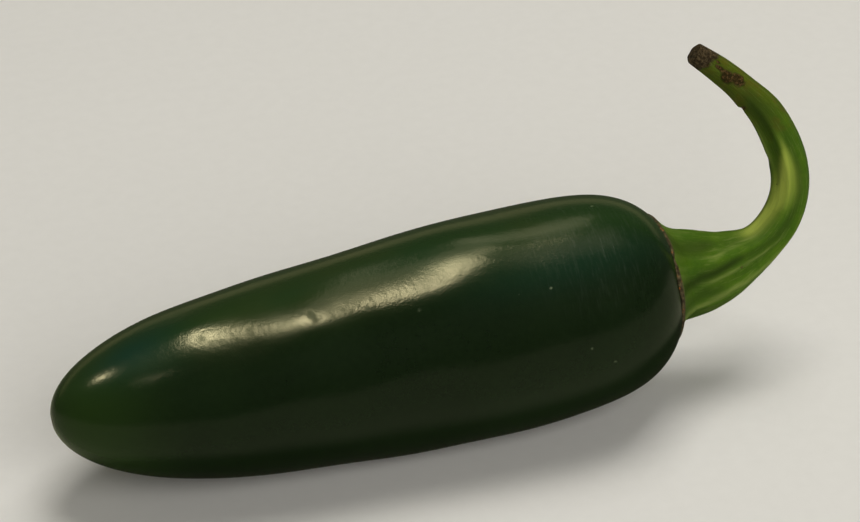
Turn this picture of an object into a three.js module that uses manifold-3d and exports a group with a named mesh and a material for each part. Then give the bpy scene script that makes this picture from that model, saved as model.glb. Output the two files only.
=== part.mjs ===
// A green chilli pepper, picked with its stalk and lying on its belly on a table.
// Millimetres, +Z up. The pod's tip points to -X, the stalk leaves at +X and hooks upwards.
// The origin is on the table, under the middle of the pepper's bounding box.
//
// Every piece is first drawn in the pepper's own frame: x runs along the pod from the tip (0) to the
// top of the shoulder (POD_LENGTH), z is up and y points to the far side. The pepper is then tipped
// and lifted until its belly rests on the table.
import * as THREE from "three";
import { mergeVertices } from "three/addons/utils/BufferGeometryUtils.js";
import Module from "manifold-3d";

const wasm = await Module();
wasm.setup();

// Pod: radius(x) = POD_RADIUS sqrt(1 - e^(-x / NOSE_LENGTH)) sqrt(1 - (x / POD_LENGTH)^SHOULDER_POWER)
const POD_LENGTH = 88;
const POD_RADIUS = 15.55; // what the nose curve tends to, so that the widest ring is 15.0
const NOSE_LENGTH = 23; // larger is a slimmer, more pointed nose
const SHOULDER_POWER = 14.8; // larger is a squarer shoulder
const BELLY_X = 50; // where the bowed axis is lowest
const AXIS_BOW = 1.3; // how far the axis has risen half a pod's length from the belly
const TIP_SWAY = -0.35; // how far the tip leans to the far side
const LOBES = 3;
const LOBE_SHARE = 0.018; // of the radius, at the shoulder
const LOBE_PHASE = 0.9;
const BLOSSOM_SCAR_RADIUS = 1.3;
const BLOSSOM_SCAR_DEPTH = 0.35;

// Long, low swells of the skin: [height, wavelength along the pod, waves around it, phase]
const SWELLS = [
  [0.2, 49, 2, 4.9],
  [0.06, 19.8, -3, -0.2],
  [0.04, 17.4, 4, 6],
];
const BELLY_SHARPNESS = 8; // larger keeps the swells closer to the belly's middle line

// Calyx: a thin cap let into the shoulder, with a raised corky edge
const CALYX_RADIUS = 9.2;
const CALYX_SUNK = 0.7; // its underside, below the pod's outer surface
const CALYX_PROUD = 0.15; // its upper side, above that surface
const CALYX_LIP = 0.25; // its edge, above that surface
const CALYX_ROUNDING = 0.25; // of its edge
const CALYX_LIP_WIDTH = 0.7;
const CALYX_TOOTH_SHARE = 0.025; // one blunt tooth for each rib of the stalk

// Stalk: a flared, six-ribbed foot that narrows into a round hooked stem
const FOOT_RADIUS = 8.6; // the flare's thin edge, on the calyx
const FLARE = [-0.55, 7]; // the flare's middle: how far along from the shoulder's top, and its radius
const HOOK_LEAN = THREE.MathUtils.degToRad(20); // from upright, to the far side
const RIBS = 6;
const RIB_NARROWING = 0.2; // larger is narrower ribs between wider grooves
const RIB_SHARE_AT_FLARE = 0.045; // the ribs' height, as a share of the radius
const RIB_SHARE_AT_FOOT = 0.075;
const RIB_SHARE_AT_END = 0.035;
const RIB_TURN = THREE.MathUtils.degToRad(30); // of the first rib at the foot, from the near side
const RIB_TWIST = THREE.MathUtils.degToRad(6); // from the foot to the cut end
const HEEL_HEIGHT = 0.35; // the small step on the inside of the hook
const HEEL_AT = 0.76; // its place, as a share of the way along the stem
const HEEL_LENGTH = 0.03;
const CUT_BEVEL = 0.4;
const CUT_FACE_SHARE = 0.82; // of the end's radius, inside the bevel

// The stem's line in the plane of the hook: [along the pod from the shoulder's top, up, radius]
const STEM_LINE = [
  [0.5, -0.5, 6.15],
  [4.3, -0.8, 5.5],
  [8.1, -0.4, 4.5],
  [12.7, 1.1, 3.1],
  [16.5, 4.3, 2.85],
  [18.4, 8.6, 2.75],
  [18.3, 13.5, 2.65],
  [16.4, 19.1, 2.4],
  [13.5, 23.3, 1.9],
  [10.3, 26.8, 1.75],
  [7.2, 29.7, 1.5],
];

// How the pepper lies
const TIP_DOWN = THREE.MathUtils.degToRad(3);
const AXIS_HEIGHT_AT_TIP = 11.4; // low enough that the table flattens the belly a little

// What is cut away under the table's surface
const TABLE_WIDTH = 60;
const TABLE_DEPTH = 20;

const GAP = 0.3; // clearance between neighbouring pieces

// Facets
const POD_RINGS = 46;
const POD_SIDES = 60;
const CALYX_SIDES = 60;
const STEM_RINGS = 44;
const STEM_SIDES = 48;
const INNER_RINGS = [0.35, 0.7]; // of the calyx and the foot's underside, as shares of their radius

const turnOf = (side, sides) => (2 * Math.PI * side) / sides;
const mix = (from, to, share) => from + (to - from) * share;

// A closed skin over rings of points. The first and last rings are single points, the poles.
function skinOver(rings, sides) {
  const positions = rings.flat().flatMap((p) => [p.x, p.y, p.z]);
  const starts = [];
  let count = 0;
  for (const ring of rings) {
    starts.push(count);
    count += ring.length;
  }
  const faces = [];
  for (let k = 0; k + 1 < rings.length; k++) {
    const below = (side) => starts[k] + (rings[k].length > 1 ? side % sides : 0);
    const above = (side) => starts[k + 1] + (rings[k + 1].length > 1 ? side % sides : 0);
    for (let side = 0; side < sides; side++) {
      if (rings[k].length > 1) faces.push(below(side), below(side + 1), above(side));
      if (rings[k + 1].length > 1) faces.push(above(side), below(side + 1), above(side + 1));
    }
  }
  const geometry = new THREE.BufferGeometry();
  geometry.setAttribute("position", new THREE.Float32BufferAttribute(positions, 3));
  geometry.setIndex(faces);
  return geometry;
}

function solidFrom(geometry) {
  return new wasm.Manifold(
    new wasm.Mesh({
      numProp: 3,
      vertProperties: new Float32Array(geometry.attributes.position.array),
      triVerts: new Uint32Array(geometry.index.array),
    }),
  );
}

function geometryFrom(solid) {
  const mesh = solid.getMesh();
  const geometry = new THREE.BufferGeometry();
  geometry.setAttribute("position", new THREE.Float32BufferAttribute(mesh.vertProperties, 3));
  geometry.setIndex(new THREE.BufferAttribute(mesh.triVerts, 1));
  return geometry;
}

// A box as one closed skin, with its corners shared.
function boxSkin(width, depth, height) {
  const geometry = new THREE.BoxGeometry(width, depth, height);
  geometry.deleteAttribute("normal");
  geometry.deleteAttribute("uv");
  return mergeVertices(geometry);
}

// The pod

const shoulderRadius = POD_RADIUS * Math.sqrt(1 - Math.exp(-POD_LENGTH / NOSE_LENGTH));

const axisHeight = (x) => AXIS_BOW * ((x - BELLY_X) / (POD_LENGTH / 2)) ** 2;
const axisSway = (x) => TIP_SWAY * Math.max(0, 1 - x / BELLY_X) ** 2;

function podRadius(x) {
  const nose = Math.sqrt(1 - Math.exp(-x / NOSE_LENGTH));
  const shoulder = Math.sqrt(1 - (x / POD_LENGTH) ** SHOULDER_POWER);
  return POD_RADIUS * nose * shoulder;
}

// How far along the pod the shoulder has the given radius.
const shoulderAt = (radius) => POD_LENGTH * (1 - (radius / shoulderRadius) ** 2) ** (1 / SHOULDER_POWER);

function swell(x, turn) {
  const ends = Math.sin((Math.PI * x) / POD_LENGTH);
  const belly = Math.max(0, -Math.sin(turn)) ** BELLY_SHARPNESS;
  const waves = SWELLS.map(
    ([height, wavelength, around, phase]) =>
      height * Math.sin((2 * Math.PI * x) / wavelength + around * turn + phase),
  );
  return ends * (1 - belly) * waves.reduce((sum, wave) => sum + wave, 0);
}

function podPoint(x, turn) {
  const lobes = 1 + LOBE_SHARE * (x / POD_LENGTH) * Math.cos(LOBES * turn + LOBE_PHASE);
  const radius = podRadius(x) * lobes + swell(x, turn);
  const scar = Math.min(1, radius / BLOSSOM_SCAR_RADIUS);
  const dimple = x < POD_LENGTH / 2 ? BLOSSOM_SCAR_DEPTH * (1 - scar) ** 2 : 0;
  return new THREE.Vector3(
    x + dimple,
    axisSway(x) + radius * Math.cos(turn),
    axisHeight(x) + radius * Math.sin(turn),
  );
}

function podSkin() {
  const rings = [];
  for (let k = 0; k <= POD_RINGS; k++) {
    const x = (POD_LENGTH * (1 - Math.cos((Math.PI * k) / POD_RINGS))) / 2;
    if (k === 0 || k === POD_RINGS) {
      const pole = new THREE.Vector3(x, axisSway(x), axisHeight(x));
      if (k === 0) pole.x += BLOSSOM_SCAR_DEPTH;
      rings.push([pole]);
      continue;
    }
    const ring = [];
    for (let side = 0; side < POD_SIDES; side++) ring.push(podPoint(x, turnOf(side, POD_SIDES)));
    rings.push(ring);
  }
  return skinOver(rings, POD_SIDES);
}

// The calyx, and the seat that it leaves in the shoulder

// A cap that follows the shoulder, from its underside round its edge to its upper side.
function capSkin(grow) {
  const rim = CALYX_RADIUS + grow;
  const under = -CALYX_SUNK - grow;
  const upper = CALYX_PROUD + grow;
  const profile = [
    [0, under],
    ...INNER_RINGS.map((share) => [share * rim, under]),
    [rim - CALYX_ROUNDING, under],
    [rim, -CALYX_SUNK / 2],
    [rim, CALYX_LIP / 2 + grow],
    [rim - CALYX_ROUNDING, CALYX_LIP + grow],
    [rim - CALYX_LIP_WIDTH, CALYX_LIP + grow],
    [rim - CALYX_LIP_WIDTH - 2 * CALYX_ROUNDING, upper],
    ...INNER_RINGS.toReversed().map((share) => [share * rim, upper]),
    [0, upper],
  ];
  const rings = profile.map(([radius, above]) => {
    if (radius === 0) return [new THREE.Vector3(POD_LENGTH + above, 0, axisHeight(POD_LENGTH))];
    const ring = [];
    for (let side = 0; side < CALYX_SIDES; side++) {
      const turn = turnOf(side, CALYX_SIDES);
      const toothed = radius * (1 + CALYX_TOOTH_SHARE * (radius / rim) ** 2 * ribWave(turn));
      ring.push(
        new THREE.Vector3(
          shoulderAt(toothed) + above,
          toothed * Math.cos(turn),
          axisHeight(POD_LENGTH) + toothed * Math.sin(turn),
        ),
      );
    }
    return ring;
  });
  return skinOver(rings, CALYX_SIDES);
}

// The stalk

// From -1 in a groove to 1 on a rib, with the ribs narrower than the grooves.
const ribWave = (turn) => {
  const wave = Math.cos(RIBS * (turn - RIB_TURN));
  return mix(wave, 2 * wave * wave - 1, RIB_NARROWING);
};

const stemLine = new THREE.CatmullRomCurve3(
  STEM_LINE.map(([along, up, radius]) => new THREE.Vector3(along, up, radius)),
);

function stemSkin() {
  const lean = new THREE.Vector3(0, Math.sin(HOOK_LEAN), Math.cos(HOOK_LEAN));
  const across = new THREE.Vector3(0, Math.cos(HOOK_LEAN), -Math.sin(HOOK_LEAN));
  const start = new THREE.Vector3(POD_LENGTH, 0, axisHeight(POD_LENGTH));
  const inPlane = (along, up) => start.clone().add(new THREE.Vector3(along, 0, 0)).addScaledVector(lean, up);

  // The underside of the foot follows the top of the calyx.
  const underside = [...INNER_RINGS, 1].map((share) => {
    const ring = [];
    for (let side = 0; side < STEM_SIDES; side++) {
      const turn = turnOf(side, STEM_SIDES);
      const radius = share * FOOT_RADIUS * (1 + RIB_SHARE_AT_FLARE * ribWave(turn));
      const centre = inPlane(shoulderAt(radius) - POD_LENGTH + CALYX_PROUD + GAP, 0);
      const outward = across.clone().multiplyScalar(Math.cos(turn)).addScaledVector(lean, Math.sin(turn));
      ring.push(centre.addScaledVector(outward, radius));
    }
    return ring;
  });

  const [flareAlong, flareRadius] = FLARE;
  const flare = underside[2].map((point) => {
    const outward = point.clone().sub(start).setX(0).setLength(flareRadius);
    return inPlane(flareAlong, 0).add(outward);
  });
  const rings = [[inPlane(CALYX_PROUD + GAP, 0)], ...underside, flare];
  let centre, normal, tangent, radius;
  const ringOf = (share, twist, ribs, forward) => {
    const ring = [];
    for (let side = 0; side < STEM_SIDES; side++) {
      const turn = turnOf(side, STEM_SIDES);
      const heelFade = Math.exp(-(((forward - HEEL_AT) / HEEL_LENGTH) ** 2));
      const heel = HEEL_HEIGHT * heelFade * Math.max(0, Math.sin(turn)) ** 2;
      const out = share * radius * (1 + ribs * ribWave(turn - twist)) + heel;
      const outward = across.clone().multiplyScalar(Math.cos(turn)).addScaledVector(normal, Math.sin(turn));
      ring.push(centre.clone().addScaledVector(outward, out));
    }
    return ring;
  };
  for (let k = 0; k <= STEM_RINGS; k++) {
    const share = k / STEM_RINGS;
    const here = stemLine.getPoint(share);
    const slope = stemLine.getTangent(share).setZ(0).normalize();
    centre = inPlane(here.x, here.y);
    tangent = new THREE.Vector3(slope.x, 0, 0).addScaledVector(lean, slope.y);
    normal = new THREE.Vector3(-slope.y, 0, 0).addScaledVector(lean, slope.x);
    radius = here.z;
    rings.push(ringOf(1, RIB_TWIST * share, mix(RIB_SHARE_AT_FOOT, RIB_SHARE_AT_END, share), share));
  }
  // The cut end: a bevel, then a slightly domed face.
  centre.addScaledVector(tangent, CUT_BEVEL);
  rings.push(ringOf(CUT_FACE_SHARE, RIB_TWIST, RIB_SHARE_AT_END, 1));
  centre.addScaledVector(tangent, CUT_BEVEL / 3);
  rings.push(ringOf(CUT_FACE_SHARE / 2, RIB_TWIST, RIB_SHARE_AT_END, 1));
  rings.push([centre.clone()]);
  return skinOver(rings, STEM_SIDES);
}

// The pepper

const pepper = new THREE.Group();
pepper.rotation.y = -TIP_DOWN;
pepper.position.z = AXIS_HEIGHT_AT_TIP;
pepper.updateMatrix();

// What the table takes off the belly, as a slab in the pepper's frame.
const slab = boxSkin(2 * POD_LENGTH, TABLE_WIDTH, TABLE_DEPTH);
slab.translate(POD_LENGTH / 2, 0, -TABLE_DEPTH / 2);
slab.applyMatrix4(pepper.matrix.clone().invert());

const pod = solidFrom(podSkin()).subtract(solidFrom(slab)).subtract(solidFrom(capSkin(GAP)));

function addPiece(name, geometry, material) {
  const mesh = new THREE.Mesh(geometry, material);
  mesh.name = name;
  pepper.add(mesh);
}

addPiece(
  "pod",
  geometryFrom(pod),
  new THREE.MeshStandardMaterial({ color: 0x1b2e12, roughness: 0.2, metalness: 0 }),
);
addPiece(
  "calyx",
  capSkin(0),
  new THREE.MeshStandardMaterial({ color: 0x5c5a2c, roughness: 0.7, metalness: 0 }),
);
addPiece(
  "stem",
  stemSkin(),
  new THREE.MeshStandardMaterial({ color: 0x496b1c, roughness: 0.5, metalness: 0 }),
);

// Puts the origin under the middle of the bounding box.
const chilliPepper = new THREE.Group();
chilliPepper.add(pepper);
const box = new THREE.Box3().setFromObject(chilliPepper, true);
pepper.position.x = -(box.min.x + box.max.x) / 2;
pepper.position.y = -(box.min.y + box.max.y) / 2;

export default chilliPepper;
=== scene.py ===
"""A fresh green chilli pepper on a pale table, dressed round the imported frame. Metres, +Z up.

Each piece is modelled in the pepper's own frame, where x runs along the pod from its tip to the top of its
shoulder, z is up and y points to the far side. lay_down() then tips it and puts it on the table.

A turn goes round the pod or the stalk, and the tables give it in degrees. On the pod, 0 is its far side and
90 its back, which is on top. On the stalk, 0 is its far side and 90 the inside of its hook. Forward goes
along the stalk, from 0 at its foot to 1 at its cut end.
"""
import math

import bpy
import numpy as np
from mathutils import Matrix, Quaternion, Vector


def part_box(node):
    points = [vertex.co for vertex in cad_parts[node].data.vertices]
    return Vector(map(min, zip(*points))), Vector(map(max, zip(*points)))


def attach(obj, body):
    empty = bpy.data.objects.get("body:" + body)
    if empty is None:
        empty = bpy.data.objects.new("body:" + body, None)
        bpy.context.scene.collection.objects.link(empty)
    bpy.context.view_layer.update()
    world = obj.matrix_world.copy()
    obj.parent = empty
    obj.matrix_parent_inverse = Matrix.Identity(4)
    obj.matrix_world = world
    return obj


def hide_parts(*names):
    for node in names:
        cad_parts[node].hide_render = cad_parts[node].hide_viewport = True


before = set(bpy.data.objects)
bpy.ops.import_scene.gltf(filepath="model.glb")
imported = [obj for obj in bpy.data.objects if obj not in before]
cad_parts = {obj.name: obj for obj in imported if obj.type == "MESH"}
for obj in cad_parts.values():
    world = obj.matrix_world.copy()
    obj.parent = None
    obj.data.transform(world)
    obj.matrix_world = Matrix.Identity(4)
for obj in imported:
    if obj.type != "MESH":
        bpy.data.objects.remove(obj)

bpy.ops.object.select_all(action="DESELECT")
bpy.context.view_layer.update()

MM = 0.001

# How finely the pieces are modelled, before they are smoothed
POD_RINGS, POD_SIDES = 60, 64
CALYX_SIDES = 96
STEM_RINGS, STEM_SIDES = 56, 48
STEM_SAMPLES = 500
SLOPE_STEP = 0.001
SMOOTHING_LEVELS = 2

# The pod, as in the solid part
POD_LENGTH = 88 * MM
POD_RADIUS = 15.55 * MM
NOSE_LENGTH = 23 * MM
SHOULDER_POWER = 14.8
BELLY_X = 50 * MM
AXIS_BOW = 1.3 * MM
TIP_SWAY = -0.35 * MM
LOBES = 3
LOBE_SHARE = 0.018
LOBE_PHASE = 0.9
BLOSSOM_SCAR_RADIUS = 1.3 * MM
BLOSSOM_SCAR_DEPTH = 0.35 * MM

# Slow swells of the pod: height, length, waves round the pod, phase. The flat belly has none.
SWELLS = [
    (0.2 * MM, 49 * MM, 2, 4.9),
    (0.06 * MM, 19.8 * MM, -3, -0.2),
    (0.04 * MM, 17.4 * MM, 4, 6),
]
BELLY_SHARPNESS = 8

# Soft bumps and dents: place along the pod, turn, height, length, breadth
DENTS = [
    (23.3 * MM, 113.6, -0.22 * MM, 3.9 * MM, 4.6 * MM),
    (27.0 * MM, 112.5, -0.04 * MM, 2.2 * MM, 2.2 * MM),
    (34.8 * MM, 126.2, 0.29 * MM, 6.6 * MM, 3.1 * MM),
    (53.5 * MM, 110.3, -0.23 * MM, 5.7 * MM, 2.9 * MM),
    (43.1 * MM, 109.8, -0.24 * MM, 5.6 * MM, 6.6 * MM),
    (34.6 * MM, 115.8, 0.08 * MM, 2.9 * MM, 2.6 * MM),
    (59.8 * MM, 100.3, 0.29 * MM, 6.1 * MM, 4.4 * MM),
    (56.2 * MM, 100.4, 0.33 * MM, 6.9 * MM, 10.4 * MM),
    (18.1 * MM, 94.1, 0.25 * MM, 5.3 * MM, 1.9 * MM),
    (48.3 * MM, 118.4, -0.05 * MM, 3.7 * MM, 2.4 * MM),
]

# Small dull scuffs: place along the pod, turn, radius, strength
SCUFFS = [
    (34.7 * MM, 113.2, 0.48 * MM, 0.9),
    (34.9 * MM, 115.4, 0.5 * MM, 1.0),
    (35.1 * MM, 117.8, 0.5 * MM, 1.0),
    (42.1 * MM, 118.2, 0.3 * MM, 0.8),
    (26.6 * MM, 112.0, 0.5 * MM, 0.35),
    (26.8 * MM, 115.4, 0.45 * MM, 0.4),
    (21.6 * MM, 114.6, 0.5 * MM, 0.3),
    (20.4 * MM, 109.0, 0.45 * MM, 0.3),
    (31.0 * MM, 117.0, 2.2 * MM, 0.15),
    (24.5 * MM, 113.5, 1.6 * MM, 0.12),
]

# Pale specks: place along the pod, turn, radius, strength
SPECKS = [
    (66.3 * MM, 132.0, 0.14 * MM, 0.75),
    (63.9 * MM, 95.0, 0.16 * MM, 0.6),
    (70.3 * MM, 168.0, 0.16 * MM, 0.5),
    (76.3 * MM, 87.0, 0.2 * MM, 0.45),
    (73.5 * MM, 180.0, 0.16 * MM, 0.4),
    (48.6 * MM, 126.0, 0.2 * MM, 0.25),
]

# How ragged the edges of scuffs and specks are
RAGGED_SIZE = 0.5 * MM

# Where the skin is finely brushed round the pod, duller and with a pale painted sheen: place along it and
# turn, how far that reaches, and the size and stretch of its marks
BRUSHED_AT = (74 * MM, 110)
BRUSHED_REACH = 15 * MM
BRUSHED_SIZE = 0.3 * MM
BRUSHED_STRETCH = (1, 0.12, 0.12)

# Where the skin gets a painted reflection of bluish light: place along the pod, turn, length, breadth in
# degrees, strength
BLUISH_REFLECTION_PATCHES = [
    (70 * MM, 121, 13 * MM, 13, 0.55),
    (11.5 * MM, 100, 6 * MM, 20, 1.0),
    (45 * MM, 96, 12 * MM, 8, 0.3),
]

# Grain, pores and orange-peel waviness of the skin: size, roughness, height
SKIN_RELIEF = [
    (0.22 * MM, 0.6, 0.007 * MM),
    (0.55 * MM, 0.6, 0.014 * MM),
    (1.2 * MM, 0.55, 0.018 * MM),
]
SKIN_IOR = 1.33

# The calyx, which sinks into the shoulder and stands a little proud of it
CALYX_RADIUS = 9.2 * MM
CALYX_SINK = 0.5 * MM
CALYX_PROUD = 0.15 * MM
CALYX_LIP = 0.25 * MM
CALYX_MIDDLE = 0.5 * MM
CALYX_TOOTH_SHARE = 0.025
CALYX_FRAY_SHARE = 0.008
SHOULDER_REACH = 12 * MM

# The fray of the calyx's edge: strength, waves round it, phase
FRAY_WAVES = [(0.4, 17, 0), (0.35, 29, 1), (0.25, 43, 2)]

# The stalk, as in the solid part
HOOK_LEAN = math.radians(20)
RIBS = 6
RIB_PHASE = math.radians(30)
RIB_NARROWING = 0.2
RIB_SHARE_AT_FOOT = 0.075
RIB_SHARE_AT_END = 0.035
RIB_TWIST = math.radians(6)

# The stalk's rings in mm: place along x, height, radius. The foot's rings flare over the calyx.
FOOT_LINE = [
    (-2.3, 0.1, 1),
    (-2.35, 0.1, 7.9),
    (-2.25, 0.15, 8.6),
    (-1.9, 0.1, 8.3),
    (-1.4, 0, 7.65),
    (-0.9, -0.15, 7.1),
    (-0.4, -0.3, 6.7),
    (0, -0.4, 6.4),
]
STEM_LINE = [
    (0.5, -0.5, 6.15),
    (4.3, -0.8, 5.5),
    (8.1, -0.4, 4.5),
    (12.7, 1.1, 3.1),
    (16.5, 4.3, 2.85),
    (18.4, 8.6, 2.75),
    (18.3, 13.5, 2.65),
    (16.4, 19.1, 2.4),
    (13.5, 23.3, 1.9),
    (10.3, 26.8, 1.75),
    (7.2, 29.7, 1.5),
]

# The cut end: how far past the last ring, and the share of its radius
CUT_END = [(0.25 * MM, 0.97), (0.4 * MM, 0.84), (0.5 * MM, 0.5), (0.52 * MM, 0.1)]

# The flare, where ribs and strokes are weaker, and its slightly oval edge
FLARE_LENGTH = 2 * MM
FLARE_RIB_LOSS = 0.03
FLARE_STROKE_LOSS = 0.6
FLARE_PALENESS = 0.33
FLARE_OVAL = 0.15 * MM
FLARE_OVAL_TURN = math.radians(163)

# Furrows and ridges along the stalk: height, strength of their colour, then places from foot to end:
# how far forward, turn, breadth in degrees
# The furrows' dark colour is painted shade in their creases
FURROWS = [
    (0.38 * MM, 1.0, [(0.0, 178, 9), (0.04, 172, 9), (0.11, 167, 8), (0.18, 162, 8), (0.23, 161, 7)]),
    (0.12 * MM, 0.5, [(0.2, 163, 12), (0.27, 166, 12), (0.31, 168, 12), (0.37, 177, 12), (0.45, 183, 12)]),
    (0.14 * MM, 0.7, [(0.0, 199, 9), (0.05, 196, 9), (0.12, 197, 7)]),
    (0.1 * MM, 0.8, [(0.0, 128, 20), (0.06, 124, 17), (0.13, 117, 10)]),
    (0.1 * MM, 0.4, [(0.51, 114, 7), (0.59, 128, 12), (0.64, 135, 16), (0.67, 138, 18)]),
    (0.15 * MM, 0.78, [(0.65, 136, 17), (0.68, 140, 28), (0.73, 147, 34), (0.78, 155, 29), (0.82, 162, 18)]),
    (0.03 * MM, 0.9, [(0.86, 164, 20), (0.905, 162, 18)]),
    (0.05 * MM, 0.45, [(0.45, 188, 12), (0.53, 186, 14), (0.6, 186, 12)]),
    (0.2 * MM, 0.7, [(0.0, 300, 9), (0.15, 296, 9), (0.35, 290, 9), (0.55, 285, 8)]),
    (0.2 * MM, 0.7, [(0.0, 62, 9), (0.12, 56, 9), (0.3, 50, 9), (0.5, 40, 8)]),
    (0.2 * MM, 0.6, [(0.0, 2, 9), (0.15, -4, 9), (0.4, -10, 9), (0.7, -12, 8)]),
]
NEAR_FIBRE = [(0.01, 184, 3), (0.09, 178, 3), (0.15, 175, 3), (0.23, 174, 3), (0.27, 177, 3), (0.35, 188, 3)]
LOWER_FIBRE = [
    (0.0, 211, 5),
    (0.04, 208, 4),
    (0.1, 203, 4),
    (0.16, 201, 4),
    (0.26, 208, 5),
    (0.33, 213, 5),
    (0.43, 214, 4),
]
RIDGES = [
    (0.08 * MM, 0.6, NEAR_FIBRE),
    (0.12 * MM, 0.75, LOWER_FIBRE),
    (0.08 * MM, 0.65, [(0.06, 147, 5), (0.1, 147, 5), (0.15, 139, 5), (0.21, 132, 5), (0.3, 127, 5)]),
    (0.12 * MM, 0.8, [(0.58, 104, 9), (0.62, 100, 9), (0.66, 102, 10), (0.71, 103, 10), (0.76, 94, 9)]),
    (0.05 * MM, 0.4, [(0.05, 236, 12), (0.2, 232, 12), (0.36, 228, 10)]),
    (0.1 * MM, 0.6, [(0.0, 330, 6), (0.2, 326, 5), (0.45, 318, 5), (0.7, 312, 5)]),
    (0.1 * MM, 0.6, [(0.0, 30, 6), (0.2, 24, 5), (0.45, 16, 5), (0.7, 10, 5)]),
    (0.1 * MM, 0.6, [(0.0, 92, 6), (0.15, 86, 5), (0.3, 80, 5), (0.45, 76, 5)]),
]

# How softly a stroke begins and ends, and what keeps one that begins at the foot at full strength there
STROKE_FADE = 0.015
STROKE_HEAD_START = 9

# The yellow band along the inside of the hook: how far forward, turn, breadth in degrees
YELLOW_BAND = [
    (0.27, 110, 16),
    (0.35, 104, 24),
    (0.41, 108, 28),
    (0.45, 122, 35),
    (0.49, 130, 40),
    (0.55, 144, 31),
    (0.59, 153, 19),
    (0.625, 162, 9),
]

# Brown scabs and spots on the stalk: how far forward, turn, length, breadth in degrees, strength
SCABS = [
    (0.882, 170, 0.026, 34, 1.1),
    (0.85, 190, 0.027, 30, 1.1),
    (0.915, 184, 0.022, 14, 0.95),
    (0.93, 205, 0.012, 10, 0.8),
    (0.958, 162, 0.014, 22, 1.0),
    (0.6, 86, 0.016, 14, 1.0),
    (0.772, 100, 0.01, 22, 1.0),
    (0.51, 112, 0.004, 4, 0.7),
    (0.205, 176, 0.006, 4, 0.6),
    (0.66, 166, 0.03, 14, 0.25),
    (0.7, 198, 0.03, 14, 0.25),
]
SCAB_DEPTH = 0.12 * MM

# The small step on the inside of the hook, which rises sharply and dies away slowly
STEP_AT = 0.775
STEP_HEIGHT = 0.32 * MM
STEP_EDGE = 0.003
STEP_LENGTH = 0.07

# Where the brown cut end begins, and how much further that is on the inside of the hook
CUT_BEGINS = (0.965, 0.982)
CUT_SLANT = 0.016
CUT_WOBBLE = 0.06

# How the pepper lies
TIP_DOWN = math.radians(3)
AXIS_HEIGHT_AT_TIP = 11.4 * MM

# Colours of the skin
# The near side's darker greens, which are painted shade
SKIN_SHADED = (0.0048, 0.0118, 0.0030, 1)
SKIN_SHADED_DEEP = (0.0066, 0.0158, 0.0040, 1)
# The lighter greens of the back and the rest of the skin, which are painted light
SKIN_LIT_GREEN = (0.014, 0.038, 0.008, 1)
SKIN_LIT_OLIVE = (0.025, 0.042, 0.009, 1)
SKIN_TIP = (0.023, 0.052, 0.008, 1)
# A bluish tint, which is a painted reflection
SKIN_BLUISH_REFLECTION = (0.009, 0.037, 0.020, 1)
SKIN_MOTTLE = (0.018, 0.036, 0.011, 1)
SPECK_PALE = (0.2, 0.24, 0.14, 1)
# The pale colour of the brush marks, which is painted sheen
BRUSHED_SHEEN = (0.06, 0.08, 0.055, 1)
SCAR_BROWN = (0.06, 0.045, 0.018, 1)

# Colours of the calyx
CALYX_GREEN = (0.05, 0.075, 0.014, 1)
CALYX_LIGHT = (0.11, 0.13, 0.04, 1)
CORK_DARK = (0.02, 0.013, 0.006, 1)
CORK_PALE = (0.13, 0.10, 0.045, 1)
CORK_ORANGE = (0.38, 0.12, 0.025, 1)

# Colours of the stalk
STALK_GREEN = (0.050, 0.118, 0.0055, 1)
STALK_LIGHT = (0.074, 0.148, 0.007, 1)
# Dark green, for specks and for the painted shade in grooves and furrows
STALK_SHADE_AND_SPECKS = (0.028, 0.055, 0.005, 1)
STALK_PALE = (0.20, 0.255, 0.058, 1)
STALK_YELLOW = (0.40, 0.48, 0.075, 1)
STALK_OLIVE = (0.080, 0.096, 0.0055, 1)
STALK_BROWNED = (0.095, 0.080, 0.008, 1)
SCAB_DARK = (0.03, 0.02, 0.004, 1)
SCAB_PALE = (0.16, 0.09, 0.03, 1)
CUT_DARK = (0.026, 0.018, 0.008, 1)
CUT_PALE = (0.15, 0.105, 0.052, 1)

# The camera of the photograph
CAMERA_AZIMUTH = math.radians(-18.42)
CAMERA_ELEVATION = math.radians(35)
CAMERA_DISTANCE = 380.6 * MM
CAMERA_LENS = 120
CAMERA_SENSOR = 36
CAMERA_NEAR = 10 * MM
CAMERA_TARGET = Vector((-2.17, -0.16, 26.88)) * MM

# The table, and how the skin mirrors it: a glowing plane paints the table's reflection, with a painted
# shadow under the pod. Its glow rises with the distance from a line under the pod, and fades behind it
TABLE_SIZE = 5
TABLE_GREY = (0.78, 0.77, 0.74, 1)
TABLE_LIGHT = (0.82, 0.81, 0.78, 1)
MIRROR_UNDER = 0.2 * MM
MIRROR_LINE = 34 * MM
MIRROR_RISE = (16 * MM, 25 * MM)
MIRROR_GLOW = (0.03, 0.34)
MIRROR_FADE = (10 * MM, 60 * MM)
MIRROR_GLOW_BEHIND = 0.2
MIRROR_COLOUR = (1.0, 1.0, 0.66, 1)

# The room and the lights, which all face a point just above the table
ROOM_COLOUR = (1.0, 0.97, 0.8, 1)
ROOM_STRENGTH = 0.07
LIGHTS_FACE = Vector((0, 0, 25 * MM))
WARM = (1.0, 0.92, 0.57)
GOLDEN = (1.0, 0.87, 0.5)
AMBER = (1.0, 0.88, 0.4)
WHITE = (1.0, 0.98, 0.94)

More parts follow.
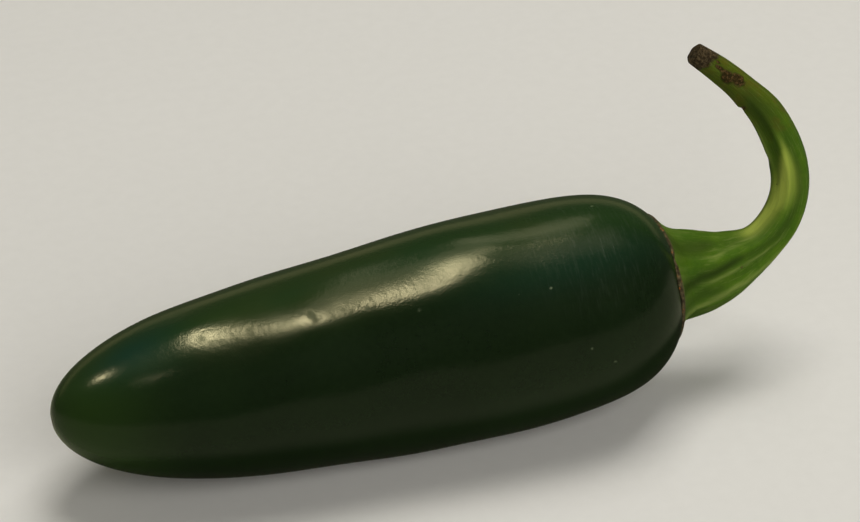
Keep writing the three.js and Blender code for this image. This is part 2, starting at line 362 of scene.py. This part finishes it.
# Lights that only show as reflections in the skin: name, direction from the pepper, distance, size, radiance,
# colour, and how far each is turned in degrees
MIRRORED_LIGHTS = [
    ("streak", (-0.023, 0.085, 1), 0.7, (0.234, 0.088), 34, GOLDEN, -68.6),
    ("streak_glow", (0.155, 0.22, 1), 0.7, (0.05, 0.22), 8, GOLDEN, 0),
    ("left_end", (-0.13, 0.18, 0.98), 0.7, (0.10, 0.10), 17, GOLDEN, 0),
    ("halo", (0.066, 0.378, 1), 0.918, (0.66, 0.225), 1.4, WARM, 59),
    ("halo_end", (0.235, 0.64, 0.75), 0.9, (0.27, 0.21), 1.5, WARM, 0),
    ("shoulder_glow", (0.38, 0.1, 0.92), 0.8, (0.4, 0.4), 0.4, WARM, 0),
    ("shoulder_core", (0.40, 0.08, 0.91), 0.8, (0.2, 0.2), 0.4, WARM, 0),
    ("back_card", (0.15, 0.96, 0.08), 0.9, (2.4, 0.28), 0.28, AMBER, 0),
    ("left_glint", (-0.61, 0.26, 0.76), 0.8, (0.08, 0.08), 56, GOLDEN, 0),
    ("front_glint", (-0.41, -0.28, 0.87), 0.8, (0.035, 0.035), 24, GOLDEN, 0),
]

# Lights that only light what is matt, given in the same way
MATT_LIGHTS = [
    ("sky", (0.2, 0.2, 0.96), 0.9, (0.5, 0.5), 6, WHITE, 0),
    ("fill", (0.2, -0.8, 0.6), 0.9, (0.8, 0.6), 2.8, WHITE, 0),
]

shoulder_radius = POD_RADIUS * math.sqrt(1 - math.exp(-POD_LENGTH / NOSE_LENGTH))


def axis_height(x):
    """How high the pod's bowed middle line is."""
    return AXIS_BOW * ((x - BELLY_X) / (POD_LENGTH / 2)) ** 2


def pod_radius(x):
    """The plain pod's radius, from its blunt tip to its rounded shoulder."""
    nose = math.sqrt(1 - math.exp(-x / NOSE_LENGTH))
    shoulder = math.sqrt(1 - (x / POD_LENGTH) ** SHOULDER_POWER)
    return POD_RADIUS * nose * shoulder


def shoulder_at(radius):
    """How far along the pod the shoulder has the given radius."""
    return POD_LENGTH * (1 - (radius / shoulder_radius) ** 2) ** (1 / SHOULDER_POWER)


def rib_wave(turn):
    """From -1 in a groove to 1 on a rib, with the ribs narrower than the grooves."""
    wave = np.cos(RIBS * (turn - RIB_PHASE))
    return (1 - RIB_NARROWING) * wave + RIB_NARROWING * (2 * wave * wave - 1)


def turned_from(turn, degrees):
    """How far each turn is from the given one, in radians from -pi to pi."""
    return (turn - np.radians(degrees) + math.pi) % (2 * math.pi) - math.pi


def soft_step(value):
    """Rises from 0 to 1 as the value goes from well below 0 to well above it."""
    return 1 / (1 + np.exp(-np.clip(value, -30, 30)))


# Modelling


def skin_over(name, rings, sides):
    """Extrudes a disc from ring to ring. A ring is its place along x, height, slope and radius."""
    x, height, slope, radius = rings[0]
    bpy.ops.mesh.primitive_circle_add(
        vertices=sides,
        radius=radius,
        fill_type="NGON",
        location=(x, 0, height),
        rotation=(0, math.pi / 2 - slope, 0),
    )
    piece = bpy.context.object
    piece.name = piece.data.name = name
    bpy.ops.object.transform_apply(location=True, rotation=True, scale=True)
    bpy.ops.object.mode_set(mode="EDIT")
    bpy.ops.mesh.select_all(action="SELECT")
    for next_x, next_height, next_slope, next_radius in rings[1:]:
        centre = (next_x, 0, next_height)
        step = (next_x - x, 0, next_height - height)
        bpy.ops.mesh.extrude_region_move(TRANSFORM_OT_translate={"value": step})
        if next_slope != slope:
            bpy.ops.transform.rotate(value=next_slope - slope, orient_axis="Y", center_override=centre)
        grow = next_radius / radius
        bpy.ops.transform.resize(value=(grow, grow, grow), center_override=centre)
        x, height, slope, radius = next_x, next_height, next_slope, next_radius
    bpy.ops.mesh.select_all(action="SELECT")
    bpy.ops.mesh.normals_make_consistent(inside=False)
    bpy.ops.object.mode_set(mode="OBJECT")
    return piece


def refine(piece):
    """Smooths the piece by subdivision, and applies it."""
    subdivision = piece.modifiers.new("smooth", "SUBSURF")
    subdivision.levels = subdivision.render_levels = SMOOTHING_LEVELS
    bpy.ops.object.modifier_apply(modifier=subdivision.name)
    bpy.ops.object.shade_smooth()


def points_of(piece):
    points = np.empty(len(piece.data.vertices) * 3)
    piece.data.vertices.foreach_get("co", points)
    return points.reshape(-1, 3)


def set_points(piece, points):
    piece.data.vertices.foreach_set("co", points.ravel())
    piece.data.update()


def remember(piece, name, values):
    """Keeps a number, or a vector, for each point of the piece, for its material."""
    kind, field = ("FLOAT", "value") if values.ndim == 1 else ("FLOAT_VECTOR", "vector")
    attribute = piece.data.attributes.new(name, kind, "POINT")
    attribute.data.foreach_set(field, values.astype(np.float32).ravel())


def resting_place():
    """Takes a point from the pepper's own frame to where it lies on the table."""
    return Matrix.Translation(origin) @ Matrix.Rotation(-TIP_DOWN, 4, "Y")


def lay_down(piece):
    """Tips the piece as the pepper lies, and flattens what would sink into the table."""
    piece.data.transform(resting_place())
    points = points_of(piece)
    points[:, 2] = np.maximum(points[:, 2], 0)
    set_points(piece, points)


# The pod


def model_pod():
    """The pod, with its rings closer together near both ends."""
    rings = []
    for k in range(1, POD_RINGS):
        x = POD_LENGTH * (1 - math.cos(math.pi * k / POD_RINGS)) / 2
        rings.append((x, 0, 0, pod_radius(x)))
    pod = skin_over("pod_skin", rings, POD_SIDES)
    refine(pod)
    swell_pod(pod)
    return pod


def swell_pod(pod):
    """Gives the plain pod its lobes, swells, dents and bow, and keeps where its colours go."""
    x, y, z = points_of(pod).T
    reach = np.hypot(y, z)
    turn = np.arctan2(z, y)
    ends = np.sin(math.pi * np.clip(x / POD_LENGTH, 0, 1))
    belly = np.maximum(0, -np.sin(turn)) ** BELLY_SHARPNESS
    radius = reach * (1 + LOBE_SHARE * x / POD_LENGTH * np.cos(LOBES * turn + LOBE_PHASE))
    for height, length, around, phase in SWELLS:
        radius += ends * (1 - belly) * height * np.sin(2 * math.pi * x / length + around * turn + phase)
    for dent_x, dent_turn, height, length, breadth in DENTS:
        off = turned_from(turn, dent_turn)
        radius += height * np.exp(-(((x - dent_x) / length) ** 2) - (off * reach / breadth) ** 2)
    scar = np.where(x < POD_LENGTH / 2, (1 - np.minimum(1, radius / BLOSSOM_SCAR_RADIUS)) ** 2, 0)
    share = radius / np.maximum(reach, 1e-9)
    sway = TIP_SWAY * np.maximum(0, 1 - x / BELLY_X) ** 2
    swelled = [x + BLOSSOM_SCAR_DEPTH * scar, sway + y * share, axis_height(x) + z * share]
    set_points(pod, np.stack(swelled, 1))
    bluish_reflection = np.zeros(len(x))
    for patch_x, patch_turn, length, breadth, strength in BLUISH_REFLECTION_PATCHES:
        off = turned_from(turn, patch_turn) / math.radians(breadth)
        bluish_reflection = np.maximum(bluish_reflection, strength * np.exp(-(((x - patch_x) / length) ** 2) - off**2))
    remember(pod, "along", x / POD_LENGTH)
    # Kept for the painted shade of the near side and the painted light on the rest
    remember(pod, "back", np.cos(turn))
    remember(pod, "scar", scar)
    remember(pod, "bluish_reflection", bluish_reflection)


def on_pod(x, turn):
    """The place of a point of the skin, as the pepper lies."""
    angle = math.radians(turn)
    radius = pod_radius(x)
    point = Vector((x, radius * math.cos(angle), axis_height(x) + radius * math.sin(angle)))
    return resting_place() @ point


# The calyx


def model_calyx():
    """A thin cap. Each ring of its profile has a radius, and a height above the shoulder at that radius."""
    rim = CALYX_RADIUS
    profile = [
        (CALYX_MIDDLE, -CALYX_SINK),
        (0.5 * rim, -CALYX_SINK),
        (rim - 0.35 * MM, -CALYX_SINK),
        (rim - 0.05 * MM, -0.2 * MM),
        (rim, 0.02 * MM),
        (rim - 0.08 * MM, 0.17 * MM),
        (rim - 0.3 * MM, CALYX_LIP),
        (rim - 0.6 * MM, 0.18 * MM),
        (rim - 1.0 * MM, CALYX_PROUD),
        (0.7 * rim, CALYX_PROUD),
        (0.5 * rim, CALYX_PROUD),
        (CALYX_MIDDLE, CALYX_PROUD),
    ]
    rings = [(shoulder_at(radius) + above, 0, 0, radius) for radius, above in profile]
    calyx = skin_over("calyx_cap", rings, CALYX_SIDES)
    refine(calyx)
    x, y, z = points_of(calyx).T
    reach = np.hypot(y, z)
    turn = np.arctan2(z, y)
    fray = sum(strength * np.sin(waves * turn + phase) for strength, waves, phase in FRAY_WAVES)
    share = 1 + (reach / rim) ** 2 * (CALYX_TOOTH_SHARE * rib_wave(turn) + CALYX_FRAY_SHARE * fray)
    fall = np.array([shoulder_at(radius) for radius in np.minimum(reach * share, SHOULDER_REACH)])
    fall -= np.array([shoulder_at(radius) for radius in np.minimum(reach, SHOULDER_REACH)])
    set_points(calyx, np.stack([x + fall, y * share, z * share + axis_height(POD_LENGTH)], 1))
    remember(calyx, "edge", reach / rim)
    return calyx


# The stalk


def on_stem_line(forward):
    """The place along x, height and radius on a smooth line through STEM_LINE."""
    last = len(STEM_LINE) - 1
    k = min(int(forward * last), last - 1)
    t = forward * last - k
    before, start, end, after = (Vector(STEM_LINE[min(max(k + i, 0), last)]) for i in (-1, 0, 1, 2))
    bend = 2 * before - 5 * start + 4 * end - after
    turn = 3 * start - before - 3 * end + after
    return (2 * start + (end - before) * t + bend * t**2 + turn * t**3) / 2 * MM


def stem_rings(count):
    """The stalk's rings before its hook leans back: place along x, height, slope and radius."""
    rings = []
    for k in range(count + 1):
        here = on_stem_line(k / count)
        ahead = on_stem_line(min(1, k / count + SLOPE_STEP))
        behind = on_stem_line(max(0, k / count - SLOPE_STEP))
        slope = math.atan2(ahead.y - behind.y, ahead.x - behind.x)
        rings.append((here.x, here.y, slope, here.z))
    return rings


def model_stem():
    """The stalk, from the foot that flares over the calyx to its cut end."""
    line = stem_rings(STEM_RINGS)
    x, height, slope, radius = line[-1]
    cut_end = [
        (x + reach * math.cos(slope), height + reach * math.sin(slope), slope, radius * share)
        for reach, share in CUT_END
    ]
    foot = [(foot_x * MM, above * MM, 0, foot_radius * MM) for foot_x, above, foot_radius in FOOT_LINE]
    stem = skin_over("stem_stalk", foot + line + cut_end, STEM_SIDES)
    refine(stem)
    rib_stem(stem)
    stem.data.transform(Matrix.Rotation(-HOOK_LEAN, 4, "X"))
    stem.data.transform(Matrix.Translation((POD_LENGTH, 0, axis_height(POD_LENGTH))))
    return stem


def along_stroke(forward, turn, places):
    """How strongly each point lies on a stroke along the stalk, from 0 to 1."""
    starts, turns, breadths = np.array(places).T
    off = turned_from(turn, np.interp(forward, starts, turns))
    across = np.exp(-((off / np.radians(np.interp(forward, starts, breadths))) ** 2))
    begun = (forward - starts[0]) / STROKE_FADE
    if starts[0] == 0:
        begun += STROKE_HEAD_START
    return across * soft_step(begun) * soft_step((starts[-1] - forward) / STROKE_FADE)


def rib_stem(stem):
    """Raises the ribs and ridges, presses in the furrows, and keeps where the colours go."""
    line = np.array(stem_rings(STEM_SAMPLES))
    points = points_of(stem)
    off = points[:, None, [0, 2]] - line[None, :, [0, 1]]
    nearest = np.argmin((off**2).sum(2), axis=1)
    forward = nearest / STEM_SAMPLES
    centre_x, centre_z, slope, radius = line[nearest].T
    out_x, out_z = points[:, 0] - centre_x, points[:, 2] - centre_z
    inward = out_z * np.cos(slope) - out_x * np.sin(slope)
    turn = np.arctan2(inward, points[:, 1])
    flare = np.clip(points[:, 0] / -FLARE_LENGTH, 0, 1)
    wave = rib_wave(turn - RIB_TWIST * forward)
    ribs = RIB_SHARE_AT_FOOT + (RIB_SHARE_AT_END - RIB_SHARE_AT_FOOT) * forward - FLARE_RIB_LOSS * flare
    height = radius * ribs * wave + FLARE_OVAL * flare * np.cos(2 * (turn - FLARE_OVAL_TURN))
    dark, pale, brown = np.zeros((3, len(points)))
    # The furrows' darkness is kept for their painted shade
    for depth, strength, places in FURROWS:
        stroke = along_stroke(forward, turn, places)
        height -= depth * stroke * (1 - FLARE_STROKE_LOSS * flare)
        dark = np.maximum(dark, strength * stroke)
    for rise, strength, places in RIDGES:
        stroke = along_stroke(forward, turn, places)
        height += rise * stroke * (1 - FLARE_STROKE_LOSS * flare)
        pale = np.maximum(pale, strength * stroke)
    pale = np.maximum(pale, FLARE_PALENESS * flare)
    for at, around, length, breadth, strength in SCABS:
        away = turned_from(turn, around) / math.radians(breadth)
        brown = np.maximum(brown, strength * np.exp(-(((forward - at) / length) ** 2) - away**2))
    height -= SCAB_DEPTH * brown
    past = forward - STEP_AT
    step = np.exp(-np.maximum(past, 0) / STEP_LENGTH) * soft_step(past / STEP_EDGE)
    height += STEP_HEIGHT * step * np.maximum(0, np.sin(turn)) ** 2
    share = 1 + height / radius
    set_points(stem, np.stack([centre_x + out_x * share, points[:, 1] * share, centre_z + out_z * share], 1))
    remember(stem, "forward", forward)
    remember(stem, "rib", wave)
    remember(stem, "dark", dark)
    remember(stem, "pale", pale)
    remember(stem, "brown", brown)
    remember(stem, "yellow", along_stroke(forward, turn, YELLOW_BAND))
    remember(stem, "grain", np.stack([np.cos(turn), np.sin(turn), forward], 1))


# Materials


def plug(tree, socket, value):
    """Feeds a socket with another node's output, or sets it to a number, vector or colour."""
    if isinstance(value, bpy.types.NodeSocket):
        tree.links.new(value, socket)
    else:
        socket.default_value = value


def add(tree, kind, inputs=None, **settings):
    """Adds a node, sets it up, and feeds its inputs."""
    node = tree.nodes.new(kind)
    for name, value in settings.items():
        setattr(node, name, value)
    for name, value in (inputs or {}).items():
        plug(tree, node.inputs[name], value)
    return node


def noise(tree, where, size, detail=2.0, roughness=0.5):
    """Soft noise from 0 to 1, with features of about the given size."""
    inputs = {"Vector": where, "Scale": 1 / size, "Detail": detail, "Roughness": roughness}
    return add(tree, "ShaderNodeTexNoise", inputs).outputs["Fac"]


def rescale(tree, value, low, high, to_low=0.0, to_high=1.0, kind="SMOOTHSTEP"):
    """Goes from to_low to to_high as the value goes from low to high, and no further."""
    inputs = {"Value": value, "From Min": low, "From Max": high, "To Min": to_low, "To Max": to_high}
    return add(tree, "ShaderNodeMapRange", inputs, interpolation_type=kind).outputs["Result"]


def sums(tree, operation, first, second):
    return add(tree, "ShaderNodeMath", {0: first, 1: second}, operation=operation).outputs[0]


def vectors(tree, operation, inputs, output=0):
    return add(tree, "ShaderNodeVectorMath", inputs, operation=operation).outputs[output]


def blend_colours(tree, amount, first, second):
    """The first colour where the amount is 0 and the second where it is 1.

    The node's sockets for colours are 6 and 7 going in, and 2 coming out.
    """
    return add(tree, "ShaderNodeMix", {0: amount, 6: first, 7: second}, data_type="RGBA").outputs[2]


def nearness(tree, where, centre, reach):
    """1 at a point of the object, falling softly to 0 at the given distance."""
    return rescale(tree, vectors(tree, "DISTANCE", {0: where, 1: centre}, "Value"), 0.0, reach, 1.0, 0.0)


def attribute(tree, name, output="Fac"):
    return add(tree, "ShaderNodeAttribute", attribute_name=name).outputs[output]


def bump(tree, height, distance, normal=None):
    inputs = {"Height": height, "Distance": distance}
    if normal is not None:
        inputs["Normal"] = normal
    return add(tree, "ShaderNodeBump", inputs).outputs["Normal"]


def start_material(name):
    """A new material, its nodes, its shader, and the place of each point of the object."""
    material = bpy.data.materials.new(name)
    material.use_nodes = True
    tree = material.node_tree
    place = add(tree, "ShaderNodeTexCoord").outputs["Object"]
    return material, tree, tree.nodes["Principled BSDF"], place


def feed(tree, shader, **inputs):
    """Feeds the shader's inputs, each under its own name with underscores for spaces."""
    for name, value in inputs.items():
        plug(tree, shader.inputs[name.replace("_", " ")], value)


def marks(tree, place, places):
    """1 at the middle of each mark, falling to 0 at its edge, with a ragged outline."""
    wobble = add(tree, "ShaderNodeTexNoise", {"Vector": place, "Scale": 1 / RAGGED_SIZE, "Detail": 2.0})
    shifted = vectors(tree, "SUBTRACT", {0: place, 1: (RAGGED_SIZE / 2,) * 3})
    ragged = vectors(tree, "MULTIPLY_ADD", {0: wobble.outputs["Color"], 1: (RAGGED_SIZE,) * 3, 2: shifted})
    total = 0.0
    for x, turn, radius, strength in places:
        mark = nearness(tree, ragged, on_pod(x, turn), 2 * radius)
        total = sums(tree, "MAXIMUM", total, sums(tree, "MULTIPLY", mark, strength))
    return total


def pod_skin_material():
    """Waxy, near-black green skin: greener on its back and tip, with specks, brush marks and dull scuffs. The
    darker near side and the greener back are painted shade and painted light, the bluish patches are a
    painted reflection, and the brush marks' pale colour is painted sheen.
    """
    material, tree, shader, place = start_material("waxy_green_skin")
    # Painted shade and light: the near side is darker, the back and the rest of the skin lighter
    side = blend_colours(tree, rescale(tree, noise(tree, place, 22 * MM), 0.35, 0.7), SKIN_SHADED, SKIN_SHADED_DEEP)
    top = blend_colours(tree, rescale(tree, noise(tree, place, 18 * MM), 0.35, 0.7), SKIN_LIT_GREEN, SKIN_LIT_OLIVE)
    colour = blend_colours(tree, rescale(tree, attribute(tree, "back"), -0.65, -0.1), side, top)
    tip = rescale(tree, attribute(tree, "along"), 0.0, 0.2, 0.75, 0.0)
    colour = blend_colours(tree, tip, colour, SKIN_TIP)
    # Painted reflection: bluish patches by the highlights
    colour = blend_colours(tree, attribute(tree, "bluish_reflection"), colour, SKIN_BLUISH_REFLECTION)
    mottle = rescale(tree, noise(tree, place, 0.9 * MM, 4, 0.65), 0.3, 0.75, 0.0, 0.1)
    colour = blend_colours(tree, mottle, colour, SKIN_MOTTLE)

    cells = add(tree, "ShaderNodeTexVoronoi", {"Vector": place, "Scale": 1 / (5 * MM)})
    chosen = rescale(tree, cells.outputs["Color"], 0.74, 0.76, kind="LINEAR")
    dots = sums(tree, "MULTIPLY", rescale(tree, cells.outputs["Distance"], 0.015, 0.04, 1.0, 0.0), chosen)
    speck = sums(tree, "MAXIMUM", sums(tree, "MULTIPLY", dots, 0.4), marks(tree, place, SPECKS))
    colour = blend_colours(tree, speck, colour, SPECK_PALE)
    # The brush marks dull the skin, and their pale colour is painted sheen
    strokes = vectors(tree, "MULTIPLY", {0: place, 1: BRUSHED_STRETCH})
    brushed = rescale(tree, noise(tree, strokes, BRUSHED_SIZE, 3, 0.65), 0.45, 0.8)
    brushed = sums(tree, "MULTIPLY", brushed, nearness(tree, place, on_pod(*BRUSHED_AT), BRUSHED_REACH))
    colour = blend_colours(tree, sums(tree, "MULTIPLY", brushed, 0.3), colour, BRUSHED_SHEEN)
    colour = blend_colours(tree, rescale(tree, attribute(tree, "scar"), 0.02, 0.25), colour, SCAR_BROWN)

    surface = None
    for size, roughness, height in SKIN_RELIEF:
        surface = bump(tree, noise(tree, place, size, 2, roughness), height, surface)
    dullness = rescale(tree, noise(tree, place, 6 * MM, 4, 0.6), 0.35, 0.75, 0.16, 0.22)
    scuff = marks(tree, place, SCUFFS)
    dullness = sums(tree, "ADD", dullness, sums(tree, "MULTIPLY", scuff, 0.5))
    dullness = sums(tree, "ADD", dullness, sums(tree, "MULTIPLY", brushed, 0.12))
    feed(tree, shader, Base_Color=colour, Roughness=dullness, Normal=surface, IOR=SKIN_IOR)
    return material


def calyx_material():
    """Green cap with a thin brown, corky, orange-flecked edge."""
    material, tree, shader, place = start_material("corky_calyx")
    green = blend_colours(tree, noise(tree, place, 1.2 * MM, 3), CALYX_GREEN, CALYX_LIGHT)
    bark = noise(tree, place, 0.5 * MM, 4, 0.65)
    cork = blend_colours(tree, rescale(tree, bark, 0.35, 0.7), CORK_DARK, CORK_PALE)
    fleck = rescale(tree, noise(tree, place, 1.1 * MM, 2), 0.6, 0.66)
    cork = blend_colours(tree, fleck, cork, CORK_ORANGE)
    colour = blend_colours(tree, rescale(tree, attribute(tree, "edge"), 0.89, 0.95), green, cork)
    surface = bump(tree, noise(tree, place, 0.4 * MM, 4, 0.7), 0.15 * MM)
    feed(tree, shader, Base_Color=colour, Roughness=0.65, Normal=surface, Specular_IOR_Level=0.25)
    return material


def stem_material():
    """Green stalk: furrows and grooves painted dark as shade, pale fibres along the ridges, brown scabs and a
    brown cut end.
    """
    material, tree, shader, place = start_material("ribbed_green_stalk")
    grain = attribute(tree, "grain", "Vector")
    forward = attribute(tree, "forward")
    fibrous = vectors(tree, "MULTIPLY", {0: grain, 1: (1, 1, 1.1)})
    mottle = rescale(tree, noise(tree, place, 3.5 * MM, 3, 0.6), 0.3, 0.7)
    colour = blend_colours(tree, mottle, STALK_GREEN, STALK_LIGHT)
    colour = blend_colours(tree, rescale(tree, forward, 0.6, 0.82, 0.0, 0.75), colour, STALK_OLIVE)
    # Painted shade: the grooves between the ribs are darker
    groove = rescale(tree, attribute(tree, "rib"), -0.2, -0.9, 0.0, 0.35)
    colour = blend_colours(tree, groove, colour, STALK_SHADE_AND_SPECKS)
    blotch = rescale(tree, noise(tree, place, 2 * MM, 3, 0.6), 0.46, 0.66)
    browned = sums(tree, "MULTIPLY", blotch, rescale(tree, forward, 0.6, 0.7))
    colour = blend_colours(tree, sums(tree, "MULTIPLY", browned, 0.55), colour, STALK_BROWNED)
    speckle = rescale(tree, noise(tree, place, 0.35 * MM, 3, 0.7), 0.45, 0.75, 0.0, 0.3)
    colour = blend_colours(tree, speckle, colour, STALK_SHADE_AND_SPECKS)
    patchy = rescale(tree, noise(tree, fibrous, 0.2, 3), 0.2, 0.6, 0.7, 1.0)
    yellow = sums(tree, "MULTIPLY", attribute(tree, "yellow"), patchy)
    colour = blend_colours(tree, yellow, colour, STALK_YELLOW)
    fibres = rescale(tree, noise(tree, fibrous, 0.055, 4, 0.6), 0.52, 0.72, 0.0, 0.38)
    colour = blend_colours(tree, fibres, colour, STALK_PALE)
    broken = rescale(tree, noise(tree, fibrous, 0.12, 3, 0.6), 0.3, 0.6)
    pale = sums(tree, "MULTIPLY", attribute(tree, "pale"), broken)
    colour = blend_colours(tree, pale, colour, STALK_PALE)
    # Painted shade: the furrows are darker
    colour = blend_colours(tree, attribute(tree, "dark"), colour, STALK_SHADE_AND_SPECKS)

    bark = noise(tree, place, 0.45 * MM, 4, 0.7)
    scabbed = attribute(tree, "brown")
    uneven = sums(tree, "MULTIPLY", sums(tree, "SUBTRACT", bark, 0.5), 0.8)
    brown = rescale(tree, sums(tree, "ADD", scabbed, uneven), 0.35, 0.75)
    brown = sums(tree, "MULTIPLY", brown, rescale(tree, scabbed, 0.02, 0.2))
    scab = blend_colours(tree, rescale(tree, bark, 0.45, 0.7), SCAB_DARK, SCAB_PALE)
    colour = blend_colours(tree, brown, colour, scab)
    wobble = sums(tree, "MULTIPLY", noise(tree, place, 1.3 * MM, 3, 0.7), CUT_WOBBLE)
    inner = add(tree, "ShaderNodeSeparateXYZ", {"Vector": grain}).outputs["Y"]
    slant = sums(tree, "MULTIPLY", inner, CUT_SLANT)
    end = rescale(tree, sums(tree, "SUBTRACT", sums(tree, "ADD", forward, wobble), slant), *CUT_BEGINS)
    cut = blend_colours(tree, rescale(tree, bark, 0.4, 0.72), CUT_DARK, CUT_PALE)
    colour = blend_colours(tree, end, colour, cut)

    rough = sums(tree, "MAXIMUM", end, brown)
    surface = bump(tree, noise(tree, place, 0.25 * MM, 3, 0.6), 0.02 * MM)
    surface = bump(tree, sums(tree, "MULTIPLY", bark, rough), 0.35 * MM, surface)
    surface = bump(tree, noise(tree, fibrous, 0.035, 4, 0.6), 0.07 * MM, surface)
    feed(tree, shader, Base_Color=colour, Roughness=0.55, Normal=surface, Specular_IOR_Level=0.12)
    return material


def floor_material():
    material, tree, shader, place = start_material("pale_table")
    colour = blend_colours(tree, noise(tree, place, 2 * MM, 3), TABLE_GREY, TABLE_LIGHT)
    feed(tree, shader, Base_Color=colour, Roughness=0.8)
    return material


def mirrored_floor_material():
    """The table as the skin mirrors it, glowing as a painted reflection: a painted shadow under the pepper,
    dark behind it, and dimly lit in front.
    """
    material, tree, shader, place = start_material("painted_table_reflection")
    parts = add(tree, "ShaderNodeSeparateXYZ", {"Vector": place}).outputs
    past_end = sums(tree, "SUBTRACT", sums(tree, "ABSOLUTE", parts["X"], 0.0), MIRROR_LINE)
    past_end = sums(tree, "MAXIMUM", past_end, 0.0)
    away = add(tree, "ShaderNodeCombineXYZ", {"X": past_end, "Y": parts["Y"], "Z": 0.0}).outputs[0]
    # Painted shadow under the pod, and a painted glow that rises away from it
    lit = rescale(tree, vectors(tree, "LENGTH", {0: away}, "Value"), *MIRROR_RISE, *MIRROR_GLOW)
    behind = rescale(tree, parts["Y"], *MIRROR_FADE, 1.0, MIRROR_GLOW_BEHIND)
    feed(tree, shader, Base_Color=(0, 0, 0, 1), Specular_IOR_Level=0.0, Emission_Color=MIRROR_COLOUR)
    feed(tree, shader, Emission_Strength=sums(tree, "MULTIPLY", lit, behind))
    return material


def dress(piece, material, node):
    piece.data.materials.clear()
    piece.data.materials.append(material)
    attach(piece, "root")
    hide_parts(node)


# The studio


def add_camera():
    flat = math.cos(CAMERA_ELEVATION)
    right, ahead = math.sin(CAMERA_AZIMUTH) * flat, math.cos(CAMERA_AZIMUTH) * flat
    back = Vector((right, -ahead, math.sin(CAMERA_ELEVATION)))  # from the target to the camera
    bpy.ops.object.camera_add(location=CAMERA_TARGET + back * CAMERA_DISTANCE)
    camera = bpy.context.object
    camera.rotation_euler = (-back).to_track_quat("-Z", "Y").to_euler()
    camera.data.lens = CAMERA_LENS
    camera.data.sensor_width = CAMERA_SENSOR
    camera.data.clip_start = CAMERA_NEAR
    bpy.context.scene.camera = camera


def add_softbox(name, towards, distance, size, radiance, colour, roll):
    """A rectangular light in the given direction from the pepper, facing it."""
    direction = Vector(towards).normalized()
    bpy.ops.object.light_add(type="AREA", location=direction * distance + LIGHTS_FACE)
    lamp = bpy.context.object
    lamp.name = name
    facing = direction.to_track_quat("Z", "Y") @ Quaternion((0, 0, 1), math.radians(roll))
    lamp.rotation_euler = facing.to_euler()
    lamp.data.shape = "RECTANGLE"
    lamp.data.size, lamp.data.size_y = size
    lamp.data.energy = radiance * math.pi * size[0] * size[1]
    lamp.data.color = colour
    return lamp


def add_lights():
    for light in MIRRORED_LIGHTS:
        add_softbox(*light).visible_diffuse = False
    for light in MATT_LIGHTS:
        add_softbox(*light).visible_glossy = False


def add_plane(name, height, material):
    bpy.ops.mesh.primitive_plane_add(size=TABLE_SIZE, location=(0, 0, height))
    plane = bpy.context.object
    plane.name = name
    plane.data.materials.append(material)
    return plane


def add_floor():
    """The table, and just under it the plane that only reflections see, which glows as the painted reflection
    of the table.
    """
    floor = add_plane("table", 0, floor_material())
    floor.visible_glossy = False
    mirrored_floor = add_plane("table_in_mirror", -MIRROR_UNDER, mirrored_floor_material())
    mirrored_floor.visible_camera = mirrored_floor.visible_diffuse = mirrored_floor.visible_shadow = False


def set_world():
    world = bpy.data.worlds.new("dim_room")
    bpy.context.scene.world = world
    world.use_nodes = True
    background = world.node_tree.nodes["Background"]
    background.inputs["Color"].default_value = ROOM_COLOUR
    background.inputs["Strength"].default_value = ROOM_STRENGTH


# The origin is where the pepper's own frame goes, so that the pod fills the place of the solid pod
pod = model_pod()
pod_low, pod_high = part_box("pod")
points = points_of(pod)
pod_middle = (points[:, 1].max() + points[:, 1].min()) / 2
left = (points[:, 0] * math.cos(TIP_DOWN) - points[:, 2] * math.sin(TIP_DOWN)).min()
origin = Vector((pod_low.x - left, (pod_low.y + pod_high.y) / 2 - pod_middle, AXIS_HEIGHT_AT_TIP))
calyx = model_calyx()
stem = model_stem()
for piece in (pod, calyx, stem):
    lay_down(piece)

dress(pod, pod_skin_material(), "pod")
dress(calyx, calyx_material(), "calyx")
dress(stem, stem_material(), "stem")

set_world()
add_floor()
add_lights()
add_camera()
bpy.context.scene.view_settings.view_transform = "Standard"
